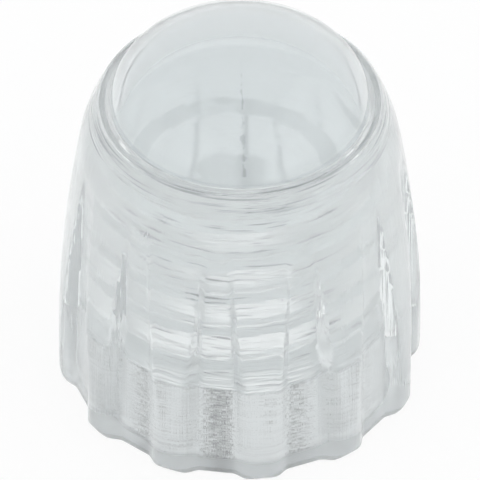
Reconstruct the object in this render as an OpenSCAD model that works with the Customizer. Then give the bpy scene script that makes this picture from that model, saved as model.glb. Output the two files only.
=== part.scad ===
// Clear screw-on dust cap for a bicycle tyre valve with the 5.2 mm thread.
// One injection moulding: a twelve-ribbed skirt, an ogive body and a low dome.
// It stands on its open rim: origin at the centre of the rim plane, +Z up.

/* [Skirt] */
// Radius over the tips of the grip ribs
rib_tip_r = 4.58; // [4.4:0.02:4.8]
// Number of grip ribs round the skirt
rib_count = 12; // [8:1:14]
// Radius of the round nose of a rib, in plan
rib_nose_r = 0.71; // [0.5:0.01:0.8]
// Distance from the axis to the flat between two ribs, at the rim
flat_in_r = 4.25; // [4.15:0.01:4.35]
// Lean of the flats towards the axis, in degrees
flat_draft = 2.1; // [1.6:0.1:3]
// Turn of the first rib about the axis, in degrees
rib_turn = 7; // [0:1:29]
// Rounding of the ribs' lower ends
rim_round = 0.22; // [0.1:0.02:0.3]

/* [Body] */
// Height at which the side starts to curve in
side_start_z = 0.26; // [0.22:0.02:1.5]
// Radius of the long curve of the side
side_arc_r = 40.5; // [34:0.5:54]
// Height of the flat ledge round the dome
ledge_z = 8.62; // [8.1:0.02:9]
// Height of the shoulder curve, down from the ledge
shoulder_h = 1.31; // [1.1:0.01:1.5]
// Radius of the shoulder curve
shoulder_arc_r = 4.12; // [3.6:0.02:5]
// Rounding of the ledge's outer edge
ledge_round = 0.09; // [0.04:0.01:0.14]

/* [Dome] */
// Radius of the dome at the ledge
dome_r = 3.19; // [3:0.01:3.24]
// Height of the dome above the ledge
dome_h = 1.84; // [1.6:0.02:2.1]

/* [Inside] */
// Radius of the plain recess at the mouth, clear of the valve's stem
recess_r = 3.21; // [3.1:0.01:3.35]
// Depth of the plain recess
recess_h = 2.2; // [1.9:0.05:2.6]
// Width of the chamfer at the mouth
mouth_chamfer = 0.2; // [0.1:0.02:0.3]
// Height of the cone that leads from the recess into the bore
lead_in_h = 0.6; // [0.3:0.02:0.8]
// Radius of the bore between the turns of the inner thread
bore_r = 2.62; // [2.6:0.01:2.8]
// Height of the bore's domed end
bore_end_h = 1.24; // [1:0.02:1.6]
// Wall between the crowns of the bore and the dome
crown_wall = 1.27; // [1:0.01:1.6]

/* [Hidden] */
clear_tint = [0.85, 0.88, 0.89, 0.45];
// Steps of each computed curve
side_steps = 8;
shoulder_steps = 6;
dome_steps = 12;
bore_end_steps = 10;
round_steps = 3;

rib_pitch = 360 / rib_count;
body_h = ledge_z + dome_h;
bore_top_z = body_h - crown_wall;
shoulder_z = ledge_z - shoulder_h;
// Room that a cutting form leaves beyond the solid it cuts
cut_room = 1;
// Reach of the rib noses past the turned form, which trims them
nose_trim = 0.02;
// Angle at which the side curve ends and the shoulder curve starts
join_a = asin((shoulder_z - side_start_z) / side_arc_r);
side_r_at_join = rib_tip_r - side_arc_r * (1 - cos(join_a));
shoulder_cx = side_r_at_join - shoulder_arc_r * cos(join_a);
shoulder_cz = shoulder_z - shoulder_arc_r * sin(join_a);
// Angle of the shoulder curve where the edge rounding takes over
edge_a = asin((ledge_z - ledge_round - shoulder_cz) / shoulder_arc_r);
edge_r = shoulder_cx + shoulder_arc_r * cos(edge_a);

// Points of an elliptic arc about [cx, cz], from angle a0 to a1
function arc(cx, cz, rx, rz, a0, a1, n) =
    [for (i = [0 : n]) let (a = a0 + (a1 - a0) * i / n) [cx + rx * cos(a), cz + rz * sin(a)]];

// The outer form turned about the axis: rim, side, shoulder, ledge and dome
outer_profile = concat(
    [[0, 0]],
    arc(rib_tip_r - rim_round, rim_round, rim_round, rim_round, -90, 0, round_steps),
    arc(rib_tip_r - side_arc_r, side_start_z, side_arc_r, side_arc_r, 0, join_a, side_steps),
    [for (i = [1 : shoulder_steps])
        let (a = join_a + (edge_a - join_a) * i / shoulder_steps)
        [shoulder_cx + shoulder_arc_r * cos(a), shoulder_cz + shoulder_arc_r * sin(a)]],
    arc(edge_r - ledge_round, ledge_z - ledge_round, ledge_round, ledge_round, 45, 90, 1),
    arc(0, ledge_z, dome_r, dome_h, 0, 90, dome_steps)
);

module turned_form() {
    rotate_extrude($fn = 96) polygon(outer_profile);
}

// What is left of the round form once the flats are cut, ribs included
module ribbed_form() {
    intersection() {
        turned_form();
        union() {
            difference() {
                cylinder(r = rib_tip_r + cut_room, h = body_h + cut_room, $fn = 96);
                for (i = [0 : rib_count - 1])
                    rotate([0, 0, rib_turn + (i + 0.5) * rib_pitch])
                        flat_cutter();
            }
            for (i = [0 : rib_count - 1])
                rotate([0, 0, rib_turn + i * rib_pitch])
                    translate([rib_tip_r - rib_nose_r + nose_trim, 0, 0])
                        cylinder(r = rib_nose_r, h = body_h, $fn = 48);
        }
    }
}

// One slab that cuts a flat: it leans inwards towards the top
module flat_cutter() {
    translate([flat_in_r, 0, 0])
        rotate([0, -flat_draft, 0])
            translate([0, -rib_tip_r, -cut_room])
                cube([rib_tip_r, 2 * rib_tip_r, body_h + 3 * cut_room]);
}

// Half outline of the inside: mouth, recess, lead-in cone and domed bore
inside_profile = concat(
    [
        [0, -cut_room],
        [recess_r + mouth_chamfer, -cut_room],
        [recess_r + mouth_chamfer, 0],
        [recess_r, mouth_chamfer],
        [recess_r, recess_h],
        [bore_r, recess_h + lead_in_h],
    ],
    arc(0, bore_top_z - bore_end_h, bore_r, bore_end_h, 0, 90, bore_end_steps)
);

module inside() {
    rotate_extrude($fn = 96) polygon(inside_profile);
}

module cap() {
    color(clear_tint)
        difference() {
            ribbed_form();
            inside();
        }
}

cap();
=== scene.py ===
"""Clear screw cap for a tyre valve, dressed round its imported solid.

The cap is one injection moulding. Its outer form and its inside are one closed mesh, turned from a
single outline, with the ribs, the flats between them and the valve thread worked into it.
"""
import logging
import math
from dataclasses import dataclass, field
from enum import IntEnum
from typing import ClassVar

import bmesh
import bpy
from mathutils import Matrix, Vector


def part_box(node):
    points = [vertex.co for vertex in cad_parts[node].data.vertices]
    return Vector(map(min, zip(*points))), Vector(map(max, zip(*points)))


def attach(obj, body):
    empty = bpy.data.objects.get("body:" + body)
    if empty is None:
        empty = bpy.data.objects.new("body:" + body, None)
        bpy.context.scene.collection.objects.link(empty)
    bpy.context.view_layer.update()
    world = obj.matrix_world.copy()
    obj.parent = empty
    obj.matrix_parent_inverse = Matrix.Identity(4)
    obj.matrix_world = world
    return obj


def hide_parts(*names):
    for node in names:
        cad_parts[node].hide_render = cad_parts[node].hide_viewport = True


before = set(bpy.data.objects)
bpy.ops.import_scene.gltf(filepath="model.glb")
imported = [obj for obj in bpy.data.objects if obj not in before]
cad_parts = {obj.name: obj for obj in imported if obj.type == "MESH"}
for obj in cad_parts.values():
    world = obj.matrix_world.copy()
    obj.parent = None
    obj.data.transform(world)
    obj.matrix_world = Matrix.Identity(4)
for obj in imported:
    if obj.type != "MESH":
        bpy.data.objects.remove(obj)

LOG = logging.getLogger("valve_cap")
MM = 0.001
# A quarter turn, in radians
QUARTER = math.pi / 2

Colour = tuple[float, float, float]
Socket = bpy.types.NodeSocket


class Zone(IntEnum):
    """The stretches of the cap's outline, from the crown round the rim to the bore's end."""

    DOME = 1
    LEDGE = 2
    SIDE = 3
    RIM = 4
    RECESS = 5
    LEAD_IN = 6
    THREAD = 7
    BORE_END = 8


@dataclass(frozen=True)
class Station:
    """One point of the turned outline: radius and height in metres, and the stretch it is on."""

    r: float
    z: float
    zone: Zone


@dataclass(frozen=True)
class SkirtSizes:
    """Grip ribs, the flats between them and the side's curve."""

    rib_tip_r: float = 4.58 * MM
    rib_count: int = 12
    rib_nose_r: float = 0.71 * MM
    flat_in_r: float = 4.25 * MM
    flat_draft: float = math.radians(2.1)
    rib_turn: float = math.radians(7)
    rim_round: float = 0.22 * MM
    flat_rim_round: float = 0.045 * MM
    root_blend: float = 0.12 * MM
    top_blend: float = 0.022 * MM
    side_start_z: float = 0.26 * MM
    side_arc_r: float = 40.5 * MM

    def radius_at(self, turn: float, z: float, round_r: float) -> float:
        """Works out where the ribbed side lies.

        Args:
            turn: angle about the axis, in radians.
            z: height, in metres.
            round_r: radius of the plain turned form there.

        Returns:
            The radius with flats and ribs, in metres.
        """
        pitch = 2 * math.pi / self.rib_count
        off_rib = (turn - self.rib_turn + pitch / 2) % pitch - pitch / 2
        off_flat = pitch / 2 - abs(off_rib)
        flat = (self.flat_in_r - z * math.tan(self.flat_draft)) / math.cos(off_flat)
        nose_centre_r = self.rib_tip_r - self.rib_nose_r
        side = nose_centre_r * math.sin(off_rib)
        reach = max(self.rib_nose_r ** 2 - side ** 2, 0.0)
        nose = nose_centre_r * math.cos(off_rib) + math.sqrt(reach) if reach > 0 else 0.0
        ribbed = soft_max(flat, nose, self.root_blend)
        k = self.flat_rim_round
        if z < k:
            ribbed -= k - math.sqrt(max(k * k - (k - z) ** 2, 0.0))
        return soft_min(ribbed, round_r, self.top_blend)


@dataclass(frozen=True)
class ShoulderSizes:
    """Shoulder curve, flat ledge with its turning marks, and dome.

    dome_edge is the angle above the ledge at which the dome gives way to its foot's fillet, and
    mark_fade is the share of the shoulder curve that has the ledge's surface.
    """

    ledge_z: float = 8.62 * MM
    shoulder_h: float = 1.31 * MM
    shoulder_arc_r: float = 4.12 * MM
    ledge_round: float = 0.09 * MM
    dome_foot: float = 0.06 * MM
    dome_r: float = 3.19 * MM
    dome_edge: float = math.radians(3)
    marks: int = 4
    mark_depth: float = 0.03 * MM
    mark_fade: float = 0.28


@dataclass(frozen=True)
class InsideSizes:
    """Mouth recess, lead-in cone and the bore with its inner thread and domed end."""

    mouth_round: float = 0.2 * MM
    recess_r: float = 3.21 * MM
    recess_h: float = 2.2 * MM
    lead_in_h: float = 0.6 * MM
    bore_r: float = 2.62 * MM
    bore_end_h: float = 1.24 * MM
    crown_wall: float = 1.27 * MM
    thread_pitch: float = 1.058 * MM
    thread_height: float = 0.28 * MM
    thread_foot: float = 0.36 * MM
    thread_crest: float = 0.1 * MM
    thread_lift: float = -0.02 * MM
    thread_start_z: float = 2.7 * MM
    thread_end_z: float = 7.5 * MM
    thread_run_out: float = 0.2 * MM

    @property
    def mouth_r(self) -> float:
        """Returns the radius of the rim's inner edge, outside the mouth's rounding."""
        return self.recess_r + self.mouth_round

    def thread_height_at(self, turn: float, z: float) -> float:
        """Works out how far the right-handed thread stands in from the bore.

        Args:
            turn: angle about the axis, in radians.
            z: height, in metres.

        Returns:
            The height of the thread's turn at that place, in metres.
        """
        wound = turn / (2 * math.pi) * self.thread_pitch + self.thread_lift
        crest_z = wound + round((z - wound) / self.thread_pitch) * self.thread_pitch
        flank = (self.thread_foot / 2 - abs(z - crest_z)) / (self.thread_foot - self.thread_crest) * 2
        fade = min((crest_z - self.thread_start_z) / self.thread_run_out,
                   (self.thread_end_z - crest_z) / self.thread_run_out, 1.0)
        return self.thread_height * min(max(flank, 0.0), 1.0) * max(fade, 0.0)


@dataclass(frozen=True)
class MeshRows:
    """How finely each stretch of the outline is cut, and the columns round the axis."""

    columns: int = 360
    dome: int = 22
    fillet: int = 4
    mark: int = 6
    ledge_edge: int = 5
    shoulder: int = 12
    side: int = 46
    side_foot: int = 8
    rim: int = 6
    recess: int = 10
    lead_in: int = 12
    per_turn: int = 19
    bore_end: int = 20


def arc(centre: tuple[float, float], half: tuple[float, float], start: float, end: float, rows: int,
        zone: Zone) -> list[Station]:
    """Places stations along an elliptic arc.

    Args:
        centre: (radius, height) of its centre, in metres.
        half: half-widths of the ellipse along the radius and the height.
        start, end: first and last angle, in radians.
        rows: number of chords.
        zone: stretch that the stations are on.

    Returns:
        The stations, both ends included.
    """
    turns = [start + (end - start) * i / rows for i in range(rows + 1)]
    return [Station(centre[0] + half[0] * math.cos(a), centre[1] + half[1] * math.sin(a), zone)
            for a in turns]


def straight(start: tuple[float, float], end: tuple[float, float], rows: int,
             zone: Zone) -> list[Station]:
    """Places stations along a straight stretch.

    Args:
        start, end: (radius, height) of the two ends, in metres.
        rows: number of chords.
        zone: stretch that the stations are on.

    Returns:
        The stations, both ends included.
    """
    shares = [i / rows for i in range(rows + 1)]
    return [Station(start[0] + (end[0] - start[0]) * s, start[1] + (end[1] - start[1]) * s, zone)
            for s in shares]


def soft_max(a: float, b: float, blend: float) -> float:
    """Returns the larger of a and b, rounded over a band of that width where they meet."""
    h = max(blend - abs(a - b), 0.0) / blend
    return max(a, b) + h * h * blend / 4


def soft_min(a: float, b: float, blend: float) -> float:
    """Returns the smaller of a and b, rounded over a band of that width where they meet."""
    return -soft_max(-a, -b, blend)


@dataclass
class MouldedSurface:
    """Shader group for a moulded surface: fine relief over slow flow waves.

    The relief is a grain, or streaks round or along the axis, or a mix of both. Height puts it out
    for a bump, and Painted Shade masks where it lies below a level, for shade painted into its low
    spots. That level falls off to both sides of one turn about the axis and on the ribs, so the
    painted shade gathers round that turn, set near the front that faces the camera, and between the ribs.
    """

    skirt: SkirtSizes
    grain_detail: float = 3.0
    streak_detail: float = 2.0
    wave_scale: float = 560.0
    wave_detail: float = 1.0
    tree: bpy.types.NodeTree = field(init=False)
    inputs: ClassVar[tuple[str, ...]] = (
        "Grain Scale", "Streaks Round", "Streaks Along", "Streak Share", "Relief Height",
        "Wave Height", "Painted Shade Level", "Painted Shade Contrast", "Patch Turn", "Patch Fade", "Rib Fade",
    )
    outputs: ClassVar[tuple[str, ...]] = ("Height", "Painted Shade")

    def maths(self, operation: str, *values: Socket | float) -> Socket:
        """Adds one math node.

        Args:
            operation: what the node does.
            values: sockets or plain numbers that feed it, in order.

        Returns:
            The socket with its result.
        """
        node = self.tree.nodes.new("ShaderNodeMath")
        node.operation = operation
        for socket, value in zip(node.inputs, values):
            if isinstance(value, Socket):
                self.tree.links.new(value, socket)
            else:
                socket.default_value = value
        return node.outputs[0]

    def noise(self, place: Socket, detail: float, scale: Socket | float = 1.0) -> Socket:
        """Adds one noise texture.

        Args:
            place: socket with the place it is read at.
            detail: how many finer layers it has.
            scale: socket or plain number with its scale.

        Returns:
            The socket with its value, 0 to 1.
        """
        node = self.tree.nodes.new("ShaderNodeTexNoise")
        node.inputs["Detail"].default_value = detail
        self.tree.links.new(place, node.inputs["Vector"])
        if isinstance(scale, Socket):
            self.tree.links.new(scale, node.inputs["Scale"])
        else:
            node.inputs["Scale"].default_value = scale
        return node.outputs["Fac"]

    def relief(self, given: bpy.types.NodeOutputs, place: Socket, turn: Socket, along: Socket) -> Socket:
        """Mixes grain and streaks.

        Args:
            given: what the group is given.
            place: the place on the piece.
            turn: angle about the axis, 0 at the front.
            along: way along the outline.

        Returns:
            The socket with the relief, 0 to 1.
        """
        streak_place = self.tree.nodes.new("ShaderNodeCombineXYZ")
        self.tree.links.new(self.maths("MULTIPLY", turn, given["Streaks Round"]),
                            streak_place.inputs["X"])
        self.tree.links.new(self.maths("MULTIPLY", along, given["Streaks Along"]),
                            streak_place.inputs["Y"])
        grain = self.noise(place, self.grain_detail, given["Grain Scale"])
        streak = self.noise(streak_place.outputs[0], self.streak_detail)
        share = given["Streak Share"]
        return self.maths("ADD", self.maths("MULTIPLY", grain, self.maths("SUBTRACT", 1.0, share)),
                          self.maths("MULTIPLY", streak, share))

    def painted_shade_mask(self, given: bpy.types.NodeOutputs, turn: Socket, relief: Socket) -> Socket:
        """Masks the relief that lies below the shade level, for painted shade.

        Args:
            given: what the group is given.
            turn: angle about the axis, 0 at the front.
            relief: the relief, 0 to 1.

        Returns:
            The socket with the painted shade mask, 0 to 1.
        """
        rib_turn = self.skirt.rib_turn + QUARTER
        # Painted shade: the level, and with it the dark, is highest at the patch turn and between the
        # ribs
        off_patch = self.maths("ABSOLUTE", self.maths("SUBTRACT", turn, given["Patch Turn"]))
        on_rib = self.maths("COSINE", self.maths("MULTIPLY", self.maths("SUBTRACT", turn, rib_turn),
                                                 float(self.skirt.rib_count)))
        level = self.maths("SUBTRACT", given["Painted Shade Level"],
                           self.maths("MULTIPLY", off_patch, given["Patch Fade"]))
        level = self.maths("SUBTRACT", level, self.maths("MULTIPLY", on_rib, given["Rib Fade"]))
        below = self.maths("SUBTRACT", level, relief)
        mask = self.tree.nodes.new("ShaderNodeClamp")
        self.tree.links.new(self.maths("MULTIPLY", below, given["Painted Shade Contrast"]),
                            mask.inputs["Value"])
        return mask.outputs[0]

    def build(self) -> bpy.types.NodeTree:
        """Builds the group.

        Returns:
            The group, with its named inputs and outputs.
        """
        self.tree = bpy.data.node_groups.new("Moulded Surface", "ShaderNodeTree")
        for name in self.inputs:
            self.tree.interface.new_socket(name, in_out="INPUT", socket_type="NodeSocketFloat")
        for name in self.outputs:
            self.tree.interface.new_socket(name, in_out="OUTPUT", socket_type="NodeSocketFloat")
        nodes, links = self.tree.nodes, self.tree.links
        given, out = nodes.new("NodeGroupInput").outputs, nodes.new("NodeGroupOutput").inputs
        place = nodes.new("ShaderNodeTexCoord").outputs["Object"]
        split = nodes.new("ShaderNodeSeparateXYZ")
        links.new(place, split.inputs[0])
        x, y, z = (split.outputs[axis] for axis in "XYZ")
        radius = self.maths("SQRT", self.maths("ADD", self.maths("MULTIPLY", x, x),
                                               self.maths("MULTIPLY", y, y)))
        turn = self.maths("ARCTAN2", x, self.maths("MULTIPLY", y, -1.0))
        relief = self.relief(given, place, turn, self.maths("SUBTRACT", z, radius))
        wave = self.noise(place, self.wave_detail, self.wave_scale)
        links.new(self.maths("ADD", self.maths("MULTIPLY", relief, given["Relief Height"]),
                             self.maths("MULTIPLY", wave, given["Wave Height"])), out["Height"])
        links.new(self.painted_shade_mask(given, turn, relief), out["Painted Shade"])
        return self.tree


@dataclass(frozen=True)
class PlasticFinish:
    """A clear, colourless plastic with a given surface, and the stretches that have it.

    Streak and grain scales are for metres, turns are in radians, and a finish with no painted shade
    tint has one tint all over; the others mix that dark tint in as painted shade where their relief lies
    low.
    """

    name: str
    zones: tuple[Zone, ...]
    tint: Colour = (0.955, 0.985, 0.99)
    painted_shade_tint: Colour | None = None
    roughness: float = 0.03
    clearness: float = 0.75
    ior: float = 1.49
    grain_scale: float = 5300.0
    streaks_round: float = 4.0
    streaks_along: float = 16000.0
    streak_share: float = 0.0
    relief_height: float = 0.0
    wave_height: float = 0.5
    painted_shade_level: float = 0.5
    painted_shade_contrast: float = 9.0
    patch_turn: float = -0.14
    patch_fade: float = 0.03
    rib_fade: float = 0.0
    bump_distance: float = 0.003 * MM
    bump_strength: float = 0.3

    def surface_values(self) -> dict[str, float]:
        """Returns what this finish gives to the Moulded Surface group, by input."""
        return {
            "Grain Scale": self.grain_scale, "Streaks Round": self.streaks_round,
            "Streaks Along": self.streaks_along, "Streak Share": self.streak_share,
            "Relief Height": self.relief_height, "Wave Height": self.wave_height,
            "Painted Shade Level": self.painted_shade_level, "Painted Shade Contrast": self.painted_shade_contrast,
            "Patch Turn": self.patch_turn, "Patch Fade": self.patch_fade, "Rib Fade": self.rib_fade,
        }

    def material(self, surface: bpy.types.NodeTree) -> bpy.types.Material:
        """Builds the material.

        Args:
            surface: the Moulded Surface group.

        Returns:
            The node material.
        """
        mat = bpy.data.materials.new(self.name)
        mat.use_nodes = True
        nodes, links = mat.node_tree.nodes, mat.node_tree.links
        shader = nodes["Principled BSDF"]
        shader.inputs["Base Color"].default_value = (*self.tint, 1)
        shader.inputs["Roughness"].default_value = self.roughness
        shader.inputs["IOR"].default_value = self.ior
        shader.inputs["Transmission Weight"].default_value = self.clearness
        moulded = nodes.new("ShaderNodeGroup")
        moulded.node_tree = surface
        for name, value in self.surface_values().items():
            moulded.inputs[name].default_value = value
        # Painted shade: the mask darkens the base colour towards the painted shade tint
        if self.painted_shade_tint:
            colour = nodes.new("ShaderNodeMix")
            colour.data_type = "RGBA"
            colour.inputs["A"].default_value = (*self.tint, 1)
            colour.inputs["B"].default_value = (*self.painted_shade_tint, 1)
            links.new(moulded.outputs["Painted Shade"], colour.inputs["Factor"])
            links.new(colour.outputs["Result"], shader.inputs["Base Color"])
        bump = nodes.new("ShaderNodeBump")
        bump.inputs["Strength"].default_value = self.bump_strength
        bump.inputs["Distance"].default_value = self.bump_distance
        links.new(moulded.outputs["Height"], bump.inputs["Height"])
        links.new(bump.outputs["Normal"], shader.inputs["Normal"])
        return mat


def cap_finishes() -> tuple[PlasticFinish, ...]:
    """Lists the cap's finishes.

    Returns:
        The finishes, from the polished dome round the rim to the bore's end.
    """
    # Painted shade: a tint darker than the side's, and a darker mottle painted in a narrow band at the
    # front
    dome = PlasticFinish("clear_polished", (Zone.DOME,), tint=(0.87, 0.905, 0.915),
                         painted_shade_tint=(0.66, 0.69, 0.7), clearness=0.74, painted_shade_level=0.56,
                         patch_turn=0.03, patch_fade=6.0)
    # Painted shade: the turning streaks are darkened where they lie low
    ledge = PlasticFinish("clear_turned", (Zone.LEDGE,), painted_shade_tint=(0.5, 0.53, 0.54),
                          roughness=0.06, streaks_round=1.2, streaks_along=7000.0, streak_share=1.0,
                          relief_height=1.0, wave_height=0.0, painted_shade_level=0.46,
                          bump_distance=0.08 * MM, bump_strength=0.7)
    side = PlasticFinish("clear_drawn", (Zone.SIDE,), streaks_round=90.0, streaks_along=350.0,
                         streak_share=1.0, relief_height=1.0, bump_distance=0.04 * MM)
    rim = PlasticFinish("clear_rim", (Zone.RIM,), tint=(0.97, 0.98, 0.98), roughness=0.22,
                        clearness=0.88)
    # Painted shade: a darker tint, and near-black painted shade in the grain's low spots, most between
    # the ribs and at the front
    recess = PlasticFinish("clear_dull", (Zone.RECESS,), tint=(0.84, 0.87, 0.88),
                           painted_shade_tint=(0.05, 0.055, 0.06), roughness=0.4, clearness=0.34,
                           grain_scale=16000.0, relief_height=1.0, wave_height=0.3,
                           painted_shade_level=0.6, painted_shade_contrast=3.6, patch_fade=0.16, rib_fade=0.11,
                           bump_distance=0.02 * MM, bump_strength=0.8)
    # Painted shade: dark painted shade in the streaks' low spots, gathered near the front
    bore = PlasticFinish("clear_bore", (Zone.LEAD_IN, Zone.THREAD), painted_shade_tint=(0.12, 0.13, 0.14),
                         roughness=0.12, clearness=0.6, streaks_round=2.2, streaks_along=8000.0,
                         streak_share=1.0, relief_height=1.0, painted_shade_level=0.42, patch_turn=0.12,
                         patch_fade=0.05, bump_distance=0.06 * MM, bump_strength=0.8)
    bore_end = PlasticFinish("clear_bore_end", (Zone.BORE_END,), roughness=0.07, clearness=0.78)
    return dome, ledge, side, rim, recess, bore, bore_end


@dataclass
class CapBody:
    """The moulded cap: its turned outline, its ribs and its thread as one closed mesh."""

    height: float
    skirt: SkirtSizes = field(default_factory=SkirtSizes)
    shoulder: ShoulderSizes = field(default_factory=ShoulderSizes)
    inside: InsideSizes = field(default_factory=InsideSizes)
    rows: MeshRows = field(default_factory=MeshRows)
    merge_distance: float = 0.0002 * MM
    sharp_angle: float = math.radians(38)

    def outer_outline(self) -> list[Station]:
        """Draws the outside.

        Returns:
            The stations from the crown down to the foot of the rim's outer rounding.
        """
        sk, sh, rows = self.skirt, self.shoulder, self.rows
        shoulder_z = sh.ledge_z - sh.shoulder_h
        join = math.asin((shoulder_z - sk.side_start_z) / sk.side_arc_r)
        join_r = sk.rib_tip_r - sk.side_arc_r * (1 - math.cos(join))
        centre = (join_r - sh.shoulder_arc_r * math.cos(join),
                  shoulder_z - sh.shoulder_arc_r * math.sin(join))
        edge = math.asin((sh.ledge_z - sh.ledge_round - centre[1]) / sh.shoulder_arc_r)
        fade = edge + (join - edge) * sh.mark_fade
        ledge_r = centre[0] + sh.shoulder_arc_r * math.cos(edge) - sh.ledge_round
        foot, sweep = (sh.dome_foot, sh.dome_foot), (sh.shoulder_arc_r, sh.shoulder_arc_r)
        return [
            *arc((0, sh.ledge_z), (sh.dome_r, self.height - sh.ledge_z), QUARTER, sh.dome_edge,
                 rows.dome, Zone.DOME),
            *arc((sh.dome_r + sh.dome_foot, sh.ledge_z + sh.dome_foot), foot, 2 * QUARTER, 3 * QUARTER,
                 rows.fillet, Zone.LEDGE),
            *self.turned_marks(sh.dome_r + 2 * sh.dome_foot, ledge_r),
            *arc((ledge_r, sh.ledge_z - sh.ledge_round), (sh.ledge_round, sh.ledge_round), QUARTER,
                 edge, rows.fillet, Zone.LEDGE),
            *arc(centre, sweep, edge, fade, rows.ledge_edge, Zone.LEDGE)[1:],
            *arc(centre, sweep, fade, join, rows.shoulder, Zone.SIDE)[1:],
            *arc((sk.rib_tip_r - sk.side_arc_r, sk.side_start_z), (sk.side_arc_r, sk.side_arc_r), join,
                 0, rows.side, Zone.SIDE)[1:],
            *straight((sk.rib_tip_r, sk.side_start_z), (sk.rib_tip_r, sk.rim_round), rows.side_foot,
                      Zone.SIDE)[1:],
            *arc((sk.rib_tip_r - sk.rim_round, sk.rim_round), (sk.rim_round, sk.rim_round), 0, -QUARTER,
                 rows.rim, Zone.RIM)[1:],
        ]

    def turned_marks(self, inner_r: float, outer_r: float) -> list[Station]:
        """Places the ledge's stations, with its shallow turning marks.

        Args:
            inner_r, outer_r: radii between which the marks lie, in metres.

        Returns:
            The stations from the inner radius outwards.
        """
        sh, steps = self.shoulder, self.rows.mark * self.shoulder.marks
        grooves = [(1 - math.cos(2 * math.pi * i / self.rows.mark)) / 2 for i in range(steps)]
        return [Station(inner_r + (outer_r - inner_r) * i / steps, sh.ledge_z - sh.mark_depth * groove,
                        Zone.LEDGE)
                for i, groove in enumerate(grooves)]

    def inner_outline(self) -> list[Station]:
        """Draws the inside.

        Returns:
            The stations from the rim's inner edge up to the crown of the bore's end.
        """
        ins, rows = self.inside, self.rows
        bore_start = ins.recess_h + ins.lead_in_h
        bore_end = self.height - ins.crown_wall - ins.bore_end_h
        thread_rows = round((bore_end - bore_start) / ins.thread_pitch * rows.per_turn)
        return [
            *arc((ins.mouth_r, ins.mouth_round), (ins.mouth_round, ins.mouth_round), -QUARTER,
                 -2 * QUARTER, rows.rim, Zone.RECESS)[:-1],
            *straight((ins.recess_r, ins.mouth_round), (ins.recess_r, ins.recess_h), rows.recess,
                      Zone.RECESS),
            *straight((ins.recess_r, ins.recess_h), (ins.bore_r, bore_start), rows.lead_in,
                      Zone.LEAD_IN)[1:],
            *straight((ins.bore_r, bore_start), (ins.bore_r, bore_end), thread_rows, Zone.THREAD)[1:],
            *arc((0, bore_end), (ins.bore_r, ins.bore_end_h), 0, QUARTER, rows.bore_end,
                 Zone.BORE_END)[1:],
        ]

    def turned(self) -> bmesh.types.BMesh:
        """Turns the outline about the axis.

        Returns:
            A closed mesh whose vertices know their zone.
        """
        bm = bmesh.new()
        zones = bm.verts.layers.int.new("zone")
        chain = []
        for station in self.outer_outline() + self.inner_outline():
            vert = bm.verts.new((station.r, 0, station.z))
            vert[zones] = int(station.zone)
            chain.append(vert)
        edges = [bm.edges.new(pair) for pair in zip(chain, chain[1:])]
        bmesh.ops.spin(bm, geom=chain + edges, cent=(0, 0, 0), axis=(0, 0, 1), dvec=(0, 0, 0),
                       angle=2 * math.pi, steps=self.rows.columns, use_merge=True,
                       use_duplicate=False)
        bmesh.ops.remove_doubles(bm, verts=bm.verts, dist=self.merge_distance)
        bmesh.ops.recalc_face_normals(bm, faces=bm.faces)
        return bm

    def shape(self, bm: bmesh.types.BMesh) -> None:
        """Works the ribs and the thread into the turned mesh.

        Args:
            bm: the mesh, which is changed.
        """
        zones = bm.verts.layers.int["zone"]
        for vert in bm.verts:
            turn = math.atan2(vert.co.y, vert.co.x)
            r = math.hypot(vert.co.x, vert.co.y)
            if vert[zones] in (Zone.SIDE, Zone.RIM) and r > self.inside.mouth_r:
                vert.co = self.moved(vert.co, turn, self.skirt.radius_at(turn, vert.co.z, r))
            elif vert[zones] in (Zone.LEAD_IN, Zone.THREAD):
                vert.co = self.moved(vert.co, turn, r - self.inside.thread_height_at(turn, vert.co.z))

    def build(self, finishes: tuple[PlasticFinish, ...], surface: bpy.types.NodeTree) -> bpy.types.Object:
        """Makes the cap's object.

        Args:
            finishes: a finish for each stretch of the outline.
            surface: the Moulded Surface group.

        Returns:
            The object, at the origin, its place in its mesh.
        """
        bm = self.turned()
        self.shape(bm)
        zones = bm.verts.layers.int["zone"]
        slots = {zone: slot for slot, finish in enumerate(finishes) for zone in finish.zones}
        for face in bm.faces:
            face.smooth = True
            # A face that lies in two stretches takes the finish of the earlier one
            face.material_index = slots[min(Zone(vert[zones]) for vert in face.verts)]
        mesh = bpy.data.meshes.new("cap_moulding")
        bm.to_mesh(mesh)
        bm.free()
        mesh.set_sharp_from_angle(angle=self.sharp_angle)
        for finish in finishes:
            mesh.materials.append(finish.material(surface))
        piece = bpy.data.objects.new("cap_moulding", mesh)
        bpy.context.scene.collection.objects.link(piece)
        return piece

    @staticmethod
    def moved(co: Vector, turn: float, r: float) -> Vector:
        """Returns the point at the same height and turn, at radius r."""
        return Vector((r * math.cos(turn), r * math.sin(turn), co.z))


@dataclass(frozen=True)
class Lamp:
    """One soft panel lamp that faces the cap: its place, width and power in metres and watts."""

    name: str
    place: tuple[float, float, float]
    size: float
    power: float

    def build(self, aim: Vector) -> None:
        """Adds the lamp.

        Args:
            aim: the point it faces.
        """
        data = bpy.data.lights.new(self.name, "AREA")
        data.shape = "SQUARE"
        data.size = self.size
        data.energy = self.power
        lamp = bpy.data.objects.new(self.name, data)
        lamp.location = self.place
        lamp.rotation_euler = (aim - Vector(self.place)).to_track_quat("-Z", "Y").to_euler()
        bpy.context.scene.collection.objects.link(lamp)


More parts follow.
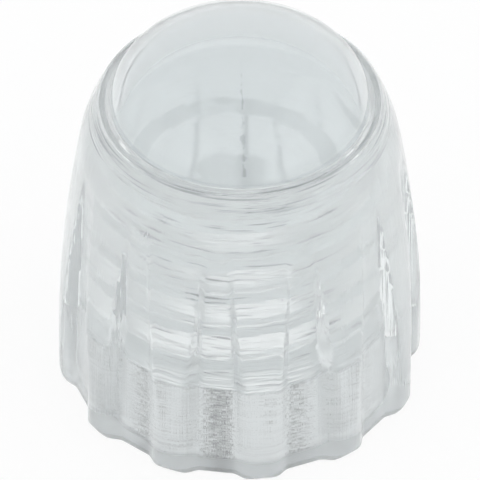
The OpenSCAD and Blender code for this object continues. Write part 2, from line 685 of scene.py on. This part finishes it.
@dataclass
class Studio:
    """Plain pale floor, soft light and the long-lens camera of the photo's view."""

    height: float
    aim_share: float = 0.38
    elevation: float = math.radians(43)
    lens: float = 600.0
    frame_width: float = 11.95 * MM
    clip_reach: float = 100.0
    floor_half: float = 400 * MM
    floor_drop: float = 0.01 * MM
    floor_white: float = 0.92
    floor_glow: float = 0.88
    horizon: Colour = (1.0, 1.0, 1.0)
    overhead: Colour = (0.86, 0.87, 0.875)
    overhead_from: float = 0.8
    back_dimming: float = 0.6
    lamps: tuple[Lamp, ...] = (
        Lamp("key_panel", (0.17, -0.04, 0.09), 0.36, 0.14),
        Lamp("side_panel", (-0.16, -0.04, 0.08), 0.30, 0.08),
    )

    @property
    def aim(self) -> Vector:
        """Returns the point on the axis that the camera and the lamps face."""
        return Vector((0, 0, self.aim_share * self.height))

    def camera(self) -> None:
        """Adds the camera and makes it the scene's own."""
        data = bpy.data.cameras.new("camera")
        data.lens = self.lens
        distance = self.lens / data.sensor_width * self.frame_width
        data.clip_start = distance / self.clip_reach
        data.clip_end = distance * self.clip_reach
        camera = bpy.data.objects.new("camera", data)
        back = Vector((0, -math.cos(self.elevation), math.sin(self.elevation)))
        camera.location = self.aim + back * distance
        camera.rotation_euler = (-back).to_track_quat("-Z", "Y").to_euler()
        bpy.context.scene.collection.objects.link(camera)
        bpy.context.scene.camera = camera

    def floor(self) -> None:
        """Adds the pale floor that the cap stands on."""
        bm = bmesh.new()
        bmesh.ops.create_grid(bm, x_segments=1, y_segments=1, size=self.floor_half)
        bmesh.ops.translate(bm, verts=bm.verts, vec=(0, 0, -self.floor_drop))
        mesh = bpy.data.meshes.new("floor")
        bm.to_mesh(mesh)
        bm.free()
        mesh.materials.append(self.floor_material())
        floor = bpy.data.objects.new("floor", mesh)
        bpy.context.scene.collection.objects.link(floor)

    def floor_material(self) -> bpy.types.Material:
        """Builds the floor's white, seen as such directly and through the cap.

        Returns:
            The material, matt enough to keep a faint shadow.
        """
        mat = bpy.data.materials.new("pale_floor")
        mat.use_nodes = True
        nodes, links = mat.node_tree.nodes, mat.node_tree.links
        nodes.clear()
        out, mix = nodes.new("ShaderNodeOutputMaterial"), nodes.new("ShaderNodeMixShader")
        matt, glow = nodes.new("ShaderNodeBsdfDiffuse"), nodes.new("ShaderNodeEmission")
        matt.inputs["Color"].default_value = (*[self.floor_white] * 3, 1)
        rays = nodes.new("ShaderNodeLightPath")
        seen, seen_all = nodes.new("ShaderNodeMath"), nodes.new("ShaderNodeMath")
        seen.operation = seen_all.operation = "MAXIMUM"
        share = nodes.new("ShaderNodeMath")
        share.operation = "MULTIPLY"
        share.inputs[1].default_value = self.floor_glow
        links.new(rays.outputs["Is Camera Ray"], seen.inputs[0])
        links.new(rays.outputs["Is Glossy Ray"], seen.inputs[1])
        links.new(seen.outputs[0], seen_all.inputs[0])
        links.new(rays.outputs["Is Transmission Ray"], seen_all.inputs[1])
        links.new(seen_all.outputs[0], share.inputs[0])
        links.new(share.outputs[0], mix.inputs["Fac"])
        links.new(matt.outputs[0], mix.inputs[1])
        links.new(glow.outputs[0], mix.inputs[2])
        links.new(mix.outputs[0], out.inputs["Surface"])
        return mat

    def room(self) -> None:
        """Sets the room's soft light, white at the horizon and a little dimmer overhead and behind."""
        world = bpy.data.worlds.new("room")
        world.use_nodes = True
        nodes, links = world.node_tree.nodes, world.node_tree.links
        back = nodes["Background"]
        back.inputs["Strength"].default_value = 1.0
        place, split = nodes.new("ShaderNodeTexCoord"), nodes.new("ShaderNodeSeparateXYZ")
        rise, ramp = nodes.new("ShaderNodeMath"), nodes.new("ShaderNodeValToRGB")
        rise.operation = "MULTIPLY_ADD"
        rise.inputs[1].default_value = self.back_dimming
        low, high = ramp.color_ramp.elements
        low.position, low.color = 0.0, (*self.horizon, 1)
        high.position, high.color = self.overhead_from, (*self.overhead, 1)
        links.new(place.outputs["Generated"], split.inputs[0])
        links.new(split.outputs["Y"], rise.inputs[0])
        links.new(split.outputs["Z"], rise.inputs[2])
        links.new(rise.outputs[0], ramp.inputs["Fac"])
        links.new(ramp.outputs["Color"], back.inputs["Color"])
        bpy.context.scene.world = world

    def build(self) -> None:
        """Sets the whole studio."""
        self.camera()
        self.floor()
        self.room()
        for lamp in self.lamps:
            lamp.build(self.aim)
        bpy.context.scene.view_settings.view_transform = "Standard"


def main() -> None:
    """Builds the cap and its studio."""
    logging.basicConfig(level=logging.INFO, format="%(message)s")
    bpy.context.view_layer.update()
    low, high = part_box("cap")
    body = CapBody(height=high.z)
    surface = MouldedSurface(body.skirt).build()
    piece = body.build(cap_finishes(), surface)
    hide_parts("cap")
    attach(piece, "root")
    LOG.info("%s: %d faces", piece.name, len(piece.data.polygons))
    Studio(height=high.z - low.z).build()


if __name__ == "__main__":
    main()
